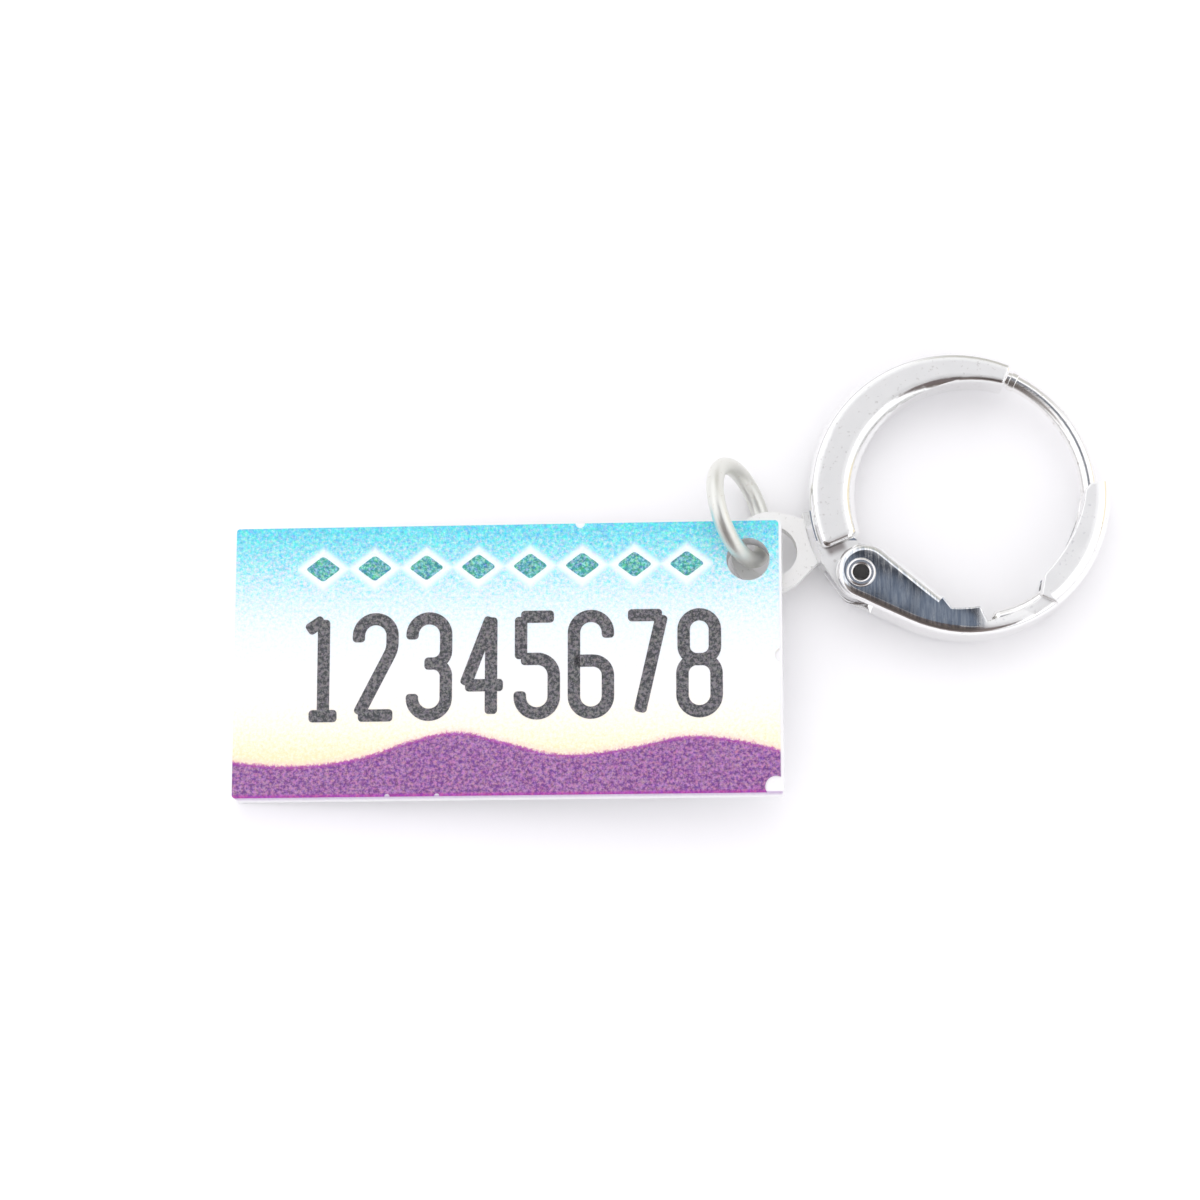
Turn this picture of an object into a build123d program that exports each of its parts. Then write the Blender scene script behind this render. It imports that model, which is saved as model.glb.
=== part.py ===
from build123d import *
from math import acos, asin, atan2, ceil, cos, degrees, hypot, radians, sin, sqrt
import os

os.makedirs("parts", exist_ok=True)

# A stitch marker: a leverback hoop, a jump ring and a printed acrylic charm, lying as on a table.
# Lengths are millimetres. The origin is the centre of the hoop and Z is the hoop's axis.

# Fits
cut_overrun = 0.5
seat_clearance = 0.01
contact_clearance = 0.015
running_clearance = 0.03
slide_clearance = 0.06

# Front arch: outer edge round the origin, inner edge round a shifted centre, so that it tapers
hoop_radius = 6.85
arch_mean_wall = 1.27
arch_bore_shift = 0.87
arch_bore_heading = -10.0
arch_thickness = 2.1
arch_top_angle = 66.0
arch_foot_angle = 203.5
arch_outer_rounding = 0.46
arch_face_wall = 1.02
arch_face_shift = 0.4
arch_inner_rounding = 0.76
arch_bore_rounding = 0.28
arch_top_rounding = 0.2
arch_foot_rounding = 0.36

# Ear wire: leaves the arch's top end, follows the hoop into the lever and bends in a little at its tip
ear_wire_radius = 0.4
ear_wire_socket_wall = 0.13
ear_wire_socket_turn = 9.0
ear_wire_bend_angle = -40.0
ear_wire_bend_radius = 5.0
ear_wire_bend_turn = 43.0
collar_lip = 0.07
collar_end_angle = 64.8
collar_turn = 3.2

# Hinge: a tubular rivet through the tongue and the lever's cheeks
hinge_inset = 0.932
hinge_angle = 220.202
rivet_shank_radius = 0.52
rivet_bore_radius = 0.36
rivet_head_lip = 0.17
rivet_head_thickness = 0.15
rivet_head_rounding = 0.12
rivet_bore_flare = 0.12

# Lever: cheeks round the hinge, a waist, and a wider spoon, with a gutter for the wire along both.
# Its edges are set in from the line of the wire, and its back and lip are set out from it.
lever_width = 2.42
lever_back_outset = 0.4
lever_back_shift = 0.48
lever_rounding = 0.38
lever_edge_rounding = 0.1
cheek_thickness = 0.4
web_thickness = 0.4
eye_radius = 1.35
eye_shift = 0.24
eye_shift_heading = 27.0
tongue_room = 0.15
knee_inset = 1.318
knee_angle = 261.724
shelf_inset = 0.86
shelf_start_angle = -93.5
shelf_end_angle = -79.5
shelf_end_slant = 1.6
waist_inset = 0.1
slot_start_angle = 180.0
slot_end_angle = 278.0
heel_angle = 290.0
cheek_sweep_angle = 60.0
gutter_clearance = 0.04
gutter_depth = 1.5
gutter_overturn = 10.0
spoon_width = 2.8
spoon_step_start_angle = -52.5
spoon_start_angle = -44.5
spoon_middle_angle = -22.0
spoon_end_angle = 1.0
spoon_start_inset = 0.74
spoon_middle_inset = 0.64
spoon_end_inset = 0.36
spoon_corner_inset = 0.07
spoon_corner_angle = 3.9
spoon_lip_outset = 0.9
spoon_lip_angle = 4.4
spoon_flare_angle = -14.0
spoon_rounding = 0.75

# Tongue and its leaf spring, between the cheeks
tongue_end_radius = 1.12
tongue_root_radius = 0.34
tongue_back_inset = 0.096
tongue_back_angle = 207.324
tongue_front_inset = 1.196
tongue_front_angle = 201.801
spring_thickness = 0.18
spring_width = 0.8
spring_recess = 0.02
spring_root_angle = 168.0
spring_tip_angle = 292.0

# Loop for the jump ring, and the flange beside it
loop_outset = 2.165
loop_angle = 197.028
loop_radius = 1.9
loop_hole_radius = 1.2
loop_thickness = 0.75
neck_root_radius = 0.12
neck_outset = 0.1
neck_start_angle = 190.8
neck_end_angle = 204.3
flange_outset = 0.35
flange_root = 0.55
flange_thickness = 1.44
flange_start_angle = 186.5
flange_end_angle = 206.5
flange_bevel = 0.3

# Jump ring, which leans through the charm's hole and the loop
ring_wire_radius = 0.4
ring_line_radius = 2.306
ring_lean = 61.529
ring_heading = 14.048
ring_in_loop_x = -0.4585
ring_in_loop_y = -0.087
ring_gap = 0.06

# Charm: an acrylic plate with a hole near one corner and ink on its upper face
charm_length = 25.4
charm_height = 12.7
charm_thickness = 1.5
charm_corner_radius = 0.16
charm_hole_radius = 1.0
charm_hole_from_end = 1.53
charm_hole_from_top = 1.817
charm_hole_past_loop = 0.8545
charm_hole_below_loop = 0.7072
ink_thickness = 0.05
ink_margin = 0.12
top_chip_from_left = 16.1
top_chip_radius = 0.22
side_chip_from_base = 6.35
side_chip_radius = 0.3
corner_chip_radius = 0.5
corner_chip_from_end = 0.33
corner_chip_from_base = 0.27
base_nick_radius = 0.13
first_nick_from_left = 7.2
second_nick_from_left = 9.5


# Shared places
def polar(radius, angle):
    """The point at this radius and angle round the origin."""
    return (radius * cos(radians(angle)), radius * sin(radians(angle)))


def beside(point, radius, angle):
    """The point at this radius and angle round another point."""
    return (point[0] + polar(radius, angle)[0], point[1] + polar(radius, angle)[1])


def radial_plane(centre, angle):
    """The upright plane through the centre's axis at this angle, with X outwards and Y along Z."""
    outwards = Vector(*polar(1, angle), 0)
    return Plane(origin=(*centre, 0), x_dir=outwards, z_dir=outwards.cross(Vector(0, 0, 1)))


def axis_up(centre):
    return Axis(origin=(*centre, 0), direction=(0, 0, 1))


def axis_down(centre):
    return Axis(origin=(*centre, 0), direction=(0, 0, -1))


origin = (0, 0)
wire_line = hoop_radius - ear_wire_socket_wall - ear_wire_radius
arch_bore_radius = hoop_radius - arch_mean_wall
hinge = polar(hoop_radius - hinge_inset, hinge_angle)
loop_centre = polar(hoop_radius + loop_outset, loop_angle)
arch_half = arch_thickness / 2
lever_half = lever_width / 2
slot_half = lever_half - cheek_thickness
tongue_half = slot_half - slide_clearance
loop_half = loop_thickness / 2
spoon_half = spoon_width / 2
rest_z = -spoon_half
far_radius = 2 * hoop_radius + lever_width
sector_step = 45


def sector(centre, start_angle, end_angle):
    """A wedge from the centre out past everything else, between two angles."""
    steps = ceil((end_angle - start_angle) / sector_step)
    step = (end_angle - start_angle) / steps
    corners = [beside(centre, far_radius, start_angle + step * count) for count in range(steps + 1)]
    with BuildSketch() as wedge:
        Polygon(centre, *corners, align=None)
    return wedge.sketch


def tongue_outline(inset):
    """The tongue's outline, drawn smaller by the inset all round."""
    with BuildSketch() as outline:
        with Locations(hinge):
            Circle(tongue_end_radius - inset)
        with Locations(
            polar(hoop_radius - tongue_back_inset, tongue_back_angle),
            polar(hoop_radius - tongue_front_inset, tongue_front_angle),
        ):
            Circle(tongue_root_radius - inset)
        make_hull()
    return outline.sketch


def spring_outline(outer_inset, inner_inset):
    """A strip along the tongue's back edge and round its end."""
    with BuildSketch() as strip:
        add(tongue_outline(outer_inset))
        add(tongue_outline(inner_inset), mode=Mode.SUBTRACT)
        add(sector(hinge, spring_root_angle, spring_tip_angle), mode=Mode.INTERSECT)
    return strip.sketch


def circle_edges(part, radius):
    return part.edges().filter_by(GeomType.CIRCLE).filter_by(
        lambda edge: abs(edge.radius - radius) < seat_clearance
    )


def flat_face_edges(part, height):
    return part.edges().filter_by(lambda edge: abs(abs(edge.center().Z) - height) < seat_clearance)


def corners_beyond(plane, radius, half_width, rounding):
    """What a rounding takes off both edges of a side that runs at this radius."""
    with BuildSketch(plane) as corners:
        with Locations((radius - rounding, half_width - rounding)):
            Rectangle(rounding + cut_overrun, rounding + cut_overrun, align=(Align.MIN, Align.MIN))
            Circle(rounding, mode=Mode.SUBTRACT)
        mirror(about=Plane.XZ)
    return corners.sketch


# Front arch
with BuildPart() as front_arch:
    with BuildSketch() as arch_profile:
        Circle(hoop_radius)
        with Locations(polar(arch_bore_shift, arch_bore_heading)):
            Circle(arch_bore_radius, mode=Mode.SUBTRACT)
        add(sector(origin, arch_top_angle, arch_foot_angle), mode=Mode.INTERSECT)
    extrude(amount=arch_half, both=True)
    fillet(circle_edges(front_arch, hoop_radius), arch_outer_rounding)
    fillet(circle_edges(front_arch, arch_bore_radius), arch_bore_rounding)
    # inner side, which curves more where the arch is thick
    face_centre = polar(arch_face_shift, arch_bore_heading)
    with BuildSketch(radial_plane(face_centre, arch_bore_heading)) as inner_corners:
        with Locations((hoop_radius - arch_face_wall, 0)):
            Rectangle(arch_inner_rounding, arch_thickness + cut_overrun, align=(Align.MAX, Align.CENTER))
            Ellipse(arch_inner_rounding, arch_half, mode=Mode.SUBTRACT)
    revolve(axis=axis_up(face_centre), mode=Mode.SUBTRACT)
    end_faces = front_arch.faces().filter_by(GeomType.PLANE).filter_by(Axis.Z, reverse=True).sort_by(Axis.X)
    fillet(end_faces[-1].edges(), arch_top_rounding)
    end_faces = front_arch.faces().filter_by(GeomType.PLANE).filter_by(Axis.Z, reverse=True).sort_by(Axis.X)
    fillet(end_faces[0].edges(), arch_foot_rounding)
    # tongue between the lever's cheeks
    add(tongue_outline(0))
    extrude(amount=tongue_half, both=True)
    # flange with bevelled outer edges
    with BuildSketch() as flange_profile:
        Circle(hoop_radius + flange_outset)
        Circle(hoop_radius - flange_root, mode=Mode.SUBTRACT)
        add(sector(origin, flange_start_angle, flange_end_angle), mode=Mode.INTERSECT)
    extrude(amount=flange_thickness / 2, both=True)
    chamfer(circle_edges(front_arch, hoop_radius + flange_outset), flange_bevel)
    # loop and its neck
    with BuildSketch() as loop_profile:
        with Locations(loop_centre):
            Circle(loop_radius)
        neck_line = hoop_radius + neck_outset
        with Locations(polar(neck_line, neck_start_angle), polar(neck_line, neck_end_angle)):
            Circle(neck_root_radius)
        make_hull()
    extrude(amount=loop_half, both=True)
    with Locations((*loop_centre, 0)):
        Hole(loop_hole_radius)
    # bore for the rivet, recess for the spring and socket for the wire
    with Locations((*hinge, 0)):
        Hole(rivet_shank_radius + seat_clearance)
    add(spring_outline(-cut_overrun, spring_recess + spring_thickness + seat_clearance))
    extrude(amount=spring_width / 2 + seat_clearance, both=True, mode=Mode.SUBTRACT)
    with BuildSketch(radial_plane(origin, arch_top_angle)) as socket_profile:
        with Locations((wire_line, 0)):
            Circle(ear_wire_radius + seat_clearance)
    revolve(axis=axis_up(origin), revolution_arc=ear_wire_socket_turn, mode=Mode.SUBTRACT)
front_arch.part.label = "front_arch"
export_step(front_arch.part, "parts/front_arch.step")


# Ear wire
bend_centre = polar(wire_line - ear_wire_bend_radius, ear_wire_bend_angle)
ear_wire_turn = arch_top_angle + ear_wire_socket_turn - ear_wire_bend_angle

with BuildPart() as ear_wire:
    with BuildSketch(radial_plane(origin, ear_wire_bend_angle)) as wire_profile:
        with Locations((wire_line, 0)):
            Circle(ear_wire_radius)
    revolve(axis=axis_up(origin), revolution_arc=ear_wire_turn)
    with BuildSketch(radial_plane(origin, ear_wire_bend_angle)) as bend_profile:
        with Locations((wire_line, 0)):
            Circle(ear_wire_radius)
    revolve(axis=axis_down(bend_centre), revolution_arc=ear_wire_bend_turn)
    tip_face = ear_wire.faces().filter_by(GeomType.PLANE).sort_by(Axis.Y)[0]
    fillet(tip_face.edges(), ear_wire_radius - contact_clearance)
    with BuildSketch(radial_plane(origin, collar_end_angle - collar_turn)) as collar_profile:
        with Locations((wire_line, 0)):
            Circle(ear_wire_radius + collar_lip)
    revolve(axis=axis_up(origin), revolution_arc=collar_turn)
    fillet(circle_edges(ear_wire, ear_wire_radius + collar_lip), collar_lip - contact_clearance)
ear_wire.part.label = "ear_wire"
export_step(ear_wire.part, "parts/ear_wire.step")


# Hinge rivet
head_base = lever_half + running_clearance

with BuildPart() as hinge_rivet:
    with Locations((*hinge, 0)):
        Cylinder(rivet_shank_radius, 2 * head_base)
    head_middle = head_base + rivet_head_thickness / 2
    with Locations((*hinge, head_middle), (*hinge, -head_middle)):
        Cylinder(rivet_shank_radius + rivet_head_lip, rivet_head_thickness)
    with Locations((*hinge, 0)):
        Hole(rivet_bore_radius)
    for head_end in (-1, 0):
        rims = hinge_rivet.faces().sort_by(Axis.Z)[head_end].edges().sort_by(SortBy.RADIUS)
        fillet(rims[0], rivet_bore_flare)
    for head_end in (-1, 0):
        rims = hinge_rivet.faces().sort_by(Axis.Z)[head_end].edges().sort_by(SortBy.RADIUS)
        fillet(rims[-1], rivet_head_rounding)
hinge_rivet.part.label = "hinge_rivet"
export_step(hinge_rivet.part, "parts/hinge_rivet.step")


# Snap spring
with BuildPart() as snap_spring:
    add(spring_outline(spring_recess, spring_recess + spring_thickness))
    extrude(amount=spring_width / 2, both=True)
snap_spring.part.label = "snap_spring"
export_step(snap_spring.part, "parts/snap_spring.step")


# Lever
eye_centre = beside(hinge, eye_shift, eye_shift_heading)
back_centre = (lever_back_shift, 0)
lever_back_radius = wire_line + lever_back_outset
waist_radius = wire_line - waist_inset
shelf_radius = wire_line - shelf_inset
knee = polar(wire_line - knee_inset, knee_angle)
shelf_start = polar(shelf_radius, shelf_start_angle)
shelf_middle = polar(shelf_radius, (shelf_start_angle + shelf_end_angle) / 2)
shelf_end = polar(shelf_radius, shelf_end_angle)
waist_start_angle = shelf_end_angle + shelf_end_slant
waist_start = polar(waist_radius, waist_start_angle)
waist_end = polar(waist_radius, spoon_start_angle)
waist_middle = polar(waist_radius, (waist_start_angle + spoon_start_angle) / 2)

# Where straight lines leave the eye: one to the knee, one to the back of the lever
knee_reach = hypot(knee[0] - eye_centre[0], knee[1] - eye_centre[1])
knee_direction = degrees(atan2(knee[1] - eye_centre[1], knee[0] - eye_centre[0]))
knee_tangent_angle = knee_direction + degrees(acos(eye_radius / knee_reach))
knee_run = sqrt(knee_reach**2 - eye_radius**2)
eye_inner = beside(eye_centre, eye_radius, knee_tangent_angle)
back_reach = hypot(eye_centre[0] - lever_back_shift, eye_centre[1])
back_direction = degrees(atan2(eye_centre[1], eye_centre[0] - lever_back_shift))
back_tangent_angle = back_direction + degrees(acos((lever_back_radius - eye_radius) / back_reach))
back_run = sqrt(back_reach**2 - (lever_back_radius - eye_radius) ** 2)
eye_outer = beside(eye_centre, eye_radius, back_tangent_angle)
back_start = beside(back_centre, lever_back_radius, back_tangent_angle)
back_middle = beside(back_centre, lever_back_radius, (back_tangent_angle + spoon_start_angle) / 2)
back_end = beside(back_centre, lever_back_radius, spoon_start_angle)

# The gutter, which is open towards the hoop's centre
gutter_radius = ear_wire_radius + gutter_clearance
gutter_turn = spoon_lip_angle * 2 - ear_wire_bend_angle
gutter_bend_turn = ear_wire_bend_turn + gutter_overturn
with BuildSketch(radial_plane(origin, ear_wire_bend_angle)) as gutter_sketch:
    with Locations((wire_line, 0)):
        Circle(gutter_radius)
        Rectangle(gutter_depth, 2 * gutter_radius, align=(Align.MAX, Align.CENTER))
gutter_profile = gutter_sketch.sketch

# The spoon's outline
spoon_step_foot = polar(waist_radius, spoon_step_start_angle)
spoon_back_start = beside(back_centre, lever_back_radius, spoon_step_start_angle)
spoon_back_middle = beside(back_centre, lever_back_radius, (spoon_step_start_angle + spoon_flare_angle) / 2)
spoon_flare = beside(back_centre, lever_back_radius, spoon_flare_angle)
spoon_lip = polar(wire_line + spoon_lip_outset, spoon_lip_angle)
spoon_start = polar(wire_line - spoon_start_inset, spoon_start_angle)
spoon_middle = polar(wire_line - spoon_middle_inset, spoon_middle_angle)
spoon_end = polar(wire_line - spoon_end_inset, spoon_end_angle)
spoon_corner = polar(wire_line - spoon_corner_inset, spoon_corner_angle)
spoon_back_turn = spoon_flare_angle - spoon_step_start_angle
arm_back_turn = spoon_start_angle - back_tangent_angle
eye_turn = 360 + back_tangent_angle - knee_tangent_angle
flare_x = spoon_flare[0] - spoon_lip[0]
flare_y = spoon_flare[1] - spoon_lip[1]
flare_outwards = polar(1, spoon_flare_angle)
flare_radius = (flare_x**2 + flare_y**2) / (2 * (flare_x * flare_outwards[0] + flare_y * flare_outwards[1]))
flare_centre = beside(spoon_flare, flare_radius, spoon_flare_angle + 180)
flare_turn = 2 * degrees(asin(hypot(flare_x, flare_y) / flare_radius))

with BuildPart() as lever:
    # cheeks and waist
    with BuildSketch() as arm_profile:
        with BuildLine() as arm_outline:
            Polyline(eye_outer, eye_centre, eye_inner, knee, shelf_start)
            ThreePointArc(shelf_start, shelf_middle, shelf_end)
            Line(shelf_end, waist_start)
            ThreePointArc(waist_start, waist_middle, waist_end)
            Line(waist_end, back_end)
            ThreePointArc(back_end, back_middle, back_start)
            Line(back_start, eye_outer)
        make_face()
        with Locations(eye_centre):
            Circle(eye_radius)
    extrude(amount=lever_half, both=True)
    fillet(flat_face_edges(lever, lever_half), lever_edge_rounding)
    # rounded back, eye and inner side
    back_plane = radial_plane(back_centre, back_tangent_angle)
    back_corners = corners_beyond(back_plane, lever_back_radius, lever_half, lever_rounding)
    add(back_corners)
    revolve(axis=axis_up(back_centre), revolution_arc=arm_back_turn, mode=Mode.SUBTRACT)
    extrude(back_corners, amount=back_run, mode=Mode.SUBTRACT)
    knee_plane = radial_plane(eye_centre, knee_tangent_angle)
    eye_corners = corners_beyond(knee_plane, eye_radius, lever_half, lever_rounding)
    add(eye_corners)
    revolve(axis=axis_up(eye_centre), revolution_arc=eye_turn, mode=Mode.SUBTRACT)
    extrude(eye_corners, amount=knee_run, mode=Mode.SUBTRACT)
    # spoon
    with BuildSketch() as spoon_profile:
        with BuildLine() as spoon_outline:
            Polyline(spoon_back_start, spoon_step_foot, spoon_start)
            ThreePointArc(spoon_start, spoon_middle, spoon_end)
            Polyline(spoon_end, spoon_corner, spoon_lip)
            TangentArc(spoon_flare, spoon_lip, tangent=polar(1, spoon_flare_angle + 90))
            ThreePointArc(spoon_flare, spoon_back_middle, spoon_back_start)
        make_face()
    extrude(amount=spoon_half, both=True)
    fillet(flat_face_edges(lever, spoon_half), lever_edge_rounding)
    spoon_back_plane = radial_plane(back_centre, spoon_flare_angle)
    add(corners_beyond(spoon_back_plane, lever_back_radius, spoon_half, spoon_rounding))
    revolve(axis=axis_down(back_centre), revolution_arc=spoon_back_turn, mode=Mode.SUBTRACT)
    flare_plane = radial_plane(flare_centre, spoon_flare_angle)
    add(corners_beyond(flare_plane, flare_radius, spoon_half, spoon_rounding))
    revolve(axis=axis_up(flare_centre), revolution_arc=flare_turn, mode=Mode.SUBTRACT)
    # slot between the cheeks, bore for the rivet and gutter for the wire
    with BuildSketch() as slot_profile:
        with Locations(back_centre):
            Circle(lever_back_radius - web_thickness)
        add(sector(origin, slot_start_angle, slot_end_angle), mode=Mode.INTERSECT)
        with Locations(hinge):
            Circle(tongue_end_radius + tongue_room)
        add(sector(hinge, cheek_sweep_angle, heel_angle))
    extrude(amount=slot_half, both=True, mode=Mode.SUBTRACT)
    with Locations((*hinge, 0)):
        Hole(rivet_shank_radius + running_clearance)
    add(gutter_profile)
    revolve(axis=axis_up(origin), revolution_arc=gutter_turn, mode=Mode.SUBTRACT)
    add(gutter_profile)
    revolve(axis=axis_down(bend_centre), revolution_arc=gutter_bend_turn, mode=Mode.SUBTRACT)
lever.part.label = "lever"
export_step(lever.part, "parts/lever.step")


# Jump ring: where its axis points, and its centre from the place where its wire crosses the loop's mid-plane
ring_level = polar(1, ring_heading)
ring_upright = polar(1, ring_lean)
ring_axis = Vector(ring_upright[1] * ring_level[0], ring_upright[1] * ring_level[1], ring_upright[0])
ring_down = Vector(ring_upright[0] * ring_level[0], ring_upright[0] * ring_level[1], -ring_upright[1])
ring_across = ring_axis.cross(ring_down)
ring_z = rest_z + ring_wire_radius + ring_line_radius * ring_upright[1] + contact_clearance
ring_rise = ring_z / ring_upright[1]
ring_reach = sqrt(ring_line_radius**2 - ring_rise**2)
ring_crossing = Vector(loop_centre[0] + ring_in_loop_x, loop_centre[1] + ring_in_loop_y, 0)
ring_centre = ring_crossing - ring_down * ring_rise + ring_across * ring_reach
ring_gap_turn = degrees(ring_gap / ring_line_radius)

ring_wire_plane = Plane(origin=ring_centre, x_dir=ring_down, z_dir=ring_down.cross(ring_axis))

with BuildPart() as jump_ring:
    with BuildSketch(ring_wire_plane) as wire_end:
        with Locations((ring_line_radius, 0)):
            Circle(ring_wire_radius)
    revolve(axis=Axis(origin=ring_centre, direction=ring_axis), revolution_arc=360 - ring_gap_turn)
jump_ring.part.label = "jump_ring"
export_step(jump_ring.part, "parts/jump_ring.step")


# Charm: its left end on the table, its underside just over the loop's edge
charm_reach = charm_length - charm_hole_from_end - charm_hole_past_loop
charm_slope = degrees(asin((loop_half - rest_z) / charm_reach))
charm_along = Vector(cos(radians(charm_slope)), 0, sin(radians(charm_slope)))
charm_upwards = Vector(-sin(radians(charm_slope)), 0, cos(radians(charm_slope)))
charm_left = loop_centre[0] - loop_radius - charm_reach * charm_along.X
charm_base = loop_centre[1] - charm_hole_below_loop + charm_hole_from_top - charm_height
charm_plane = Plane(
    origin=(charm_left, charm_base, rest_z + running_clearance), x_dir=charm_along, z_dir=charm_upwards
)
charm_hole = (charm_length - charm_hole_from_end, charm_height - charm_hole_from_top)


def charm_outline(length):
    with BuildSketch() as outline:
        Rectangle(length, charm_height, align=(Align.MIN, Align.MIN))
        fillet(outline.vertices(), charm_corner_radius)
        with Locations(charm_hole):
            Circle(charm_hole_radius, mode=Mode.SUBTRACT)
    return outline.sketch


with BuildPart() as charm_body:
    with BuildSketch(charm_plane) as plate_profile:
        add(charm_outline(charm_length))
    extrude(amount=charm_thickness - ink_thickness)
charm_body.part.label = "charm_body"
export_step(charm_body.part, "parts/charm_body.step")

with BuildPart() as charm_print:
    with BuildSketch(charm_plane.offset(charm_thickness - ink_thickness)) as ink_profile:
        add(charm_outline(charm_length - ink_margin))
        with Locations((top_chip_from_left, charm_height)):
            Circle(top_chip_radius, mode=Mode.SUBTRACT)
        with Locations((charm_length, side_chip_from_base)):
            Circle(side_chip_radius, mode=Mode.SUBTRACT)
        with Locations((charm_length - corner_chip_from_end, corner_chip_from_base)):
            Circle(corner_chip_radius, mode=Mode.SUBTRACT)
        with Locations((first_nick_from_left, 0), (second_nick_from_left, 0)):
            Circle(base_nick_radius, mode=Mode.SUBTRACT)
    extrude(amount=ink_thickness)
charm_print.part.label = "charm_print"
export_step(charm_print.part, "parts/charm_print.step")
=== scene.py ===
from math import cos, radians, sin

import bmesh
import bpy
from mathutils import Euler, Matrix, Vector


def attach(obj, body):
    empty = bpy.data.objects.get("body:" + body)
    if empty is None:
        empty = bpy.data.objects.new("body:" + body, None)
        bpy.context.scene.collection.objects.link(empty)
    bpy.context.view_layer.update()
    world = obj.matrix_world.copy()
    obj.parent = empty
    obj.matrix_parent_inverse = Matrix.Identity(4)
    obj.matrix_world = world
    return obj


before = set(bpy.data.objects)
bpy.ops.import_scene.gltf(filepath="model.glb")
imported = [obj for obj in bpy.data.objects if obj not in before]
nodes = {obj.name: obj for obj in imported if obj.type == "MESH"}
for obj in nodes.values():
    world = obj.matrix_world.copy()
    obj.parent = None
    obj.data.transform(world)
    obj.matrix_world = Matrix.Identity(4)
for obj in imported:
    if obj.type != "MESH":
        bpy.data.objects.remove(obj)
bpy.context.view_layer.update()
mm = 0.001

# The span that a falling mask goes over, and the tint that changes nothing
falling = (1.0, 0.0)
no_tint = (1.0, 1.0, 1.0)


# Node helpers
def new_material(name):
    material = bpy.data.materials.new(name)
    material.use_nodes = True
    tree = material.node_tree
    return material, tree, tree.nodes["Principled BSDF"]


def wire(tree, source, target):
    tree.links.new(source, target)


def feed(tree, socket, value):
    """Gives a socket a number, a color or what another socket puts out."""
    if isinstance(value, (int, float)):
        socket.default_value = value
    elif isinstance(value, tuple):
        socket.default_value = (*value, 1)
    elif value is not None:
        wire(tree, value, socket)


def calc(tree, operation, first, second=None, third=None):
    node = tree.nodes.new("ShaderNodeMath")
    node.operation = operation
    for socket, value in zip(node.inputs, (first, second, third)):
        feed(tree, socket, value)
    return node.outputs[0]


def times(tree, first, second):
    return calc(tree, "MULTIPLY", first, second)


def rest_of(tree, mask):
    """One where the mask is nought, and nought where it is one."""
    return calc(tree, "SUBTRACT", 1.0, mask)


def remap(tree, value, span, to=(0.0, 1.0), smooth=True):
    """Carries a value over from one span to another, and keeps it inside the second."""
    node = tree.nodes.new("ShaderNodeMapRange")
    node.interpolation_type = "SMOOTHSTEP" if smooth else "LINEAR"
    wire(tree, value, node.inputs["Value"])
    for label, number in zip(("From Min", "From Max", "To Min", "To Max"), (*span, *to)):
        node.inputs[label].default_value = number
    return node.outputs["Result"]


def mix_color(tree, factor, first, second, blend="MIX"):
    node = tree.nodes.new("ShaderNodeMix")
    node.data_type = "RGBA"
    node.blend_type = blend
    for place, value in ((0, factor), (6, first), (7, second)):
        feed(tree, node.inputs[place], value)
    return node.outputs[2]


def blend_value(tree, factor, first, second):
    node = tree.nodes.new("ShaderNodeMix")
    node.data_type = "FLOAT"
    for place, value in ((0, factor), (2, first), (3, second)):
        feed(tree, node.inputs[place], value)
    return node.outputs[0]


def noise(tree, coords, scale, detail=2.0, roughness=0.5):
    node = tree.nodes.new("ShaderNodeTexNoise")
    wire(tree, coords, node.inputs["Vector"])
    feed(tree, node.inputs["Scale"], scale)
    node.inputs["Detail"].default_value = detail
    node.inputs["Roughness"].default_value = roughness
    return node.outputs


def stretched(tree, coords, scale):
    node = tree.nodes.new("ShaderNodeMapping")
    wire(tree, coords, node.inputs["Vector"])
    node.inputs["Scale"].default_value = scale
    return node.outputs["Vector"]


def millimetres_from(tree, coords, place, turn):
    """Millimetres from a place on the piece, along axes that are turned about it."""
    node = tree.nodes.new("ShaderNodeMapping")
    node.vector_type = "TEXTURE"
    wire(tree, coords, node.inputs["Vector"])
    node.inputs["Location"].default_value = place
    node.inputs["Rotation"].default_value = turn
    node.inputs["Scale"].default_value = (mm, mm, mm)
    return node.outputs["Vector"]


def object_coords(tree):
    return tree.nodes.new("ShaderNodeTexCoord").outputs["Object"]


def split(tree, vector):
    node = tree.nodes.new("ShaderNodeSeparateXYZ")
    wire(tree, vector, node.inputs[0])
    return node.outputs


def start_group(name, inputs, outputs):
    """A node group that takes coordinates, and numbers that have a value of their own."""
    tree = bpy.data.node_groups.new(name, "ShaderNodeTree")
    tree.interface.new_socket("Coords", in_out="INPUT", socket_type="NodeSocketVector")
    for label, value in inputs.items():
        socket = tree.interface.new_socket(label, in_out="INPUT", socket_type="NodeSocketFloat")
        socket.default_value = value
    for label, kind in outputs.items():
        tree.interface.new_socket(label, in_out="OUTPUT", socket_type=kind)
    return tree, tree.nodes.new("NodeGroupInput").outputs, tree.nodes.new("NodeGroupOutput").inputs


def use_group(tree, group, coords, **values):
    node = tree.nodes.new("ShaderNodeGroup")
    node.node_tree = group
    wire(tree, coords, node.inputs["Coords"])
    for label, value in values.items():
        node.inputs[label.replace("_", " ").capitalize()].default_value = value
    return node.outputs


# Plating marks: the spans of the noise that show as haze, pits and stains, and the fine hairlines
haze_span = (0.35, 0.7)
pit_span = (0.28, 0.4)
stain_span = (0.62, 0.74)
hairline_stretch = (1.0, 14.0, 14.0)
hairline_height = 0.35


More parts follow.
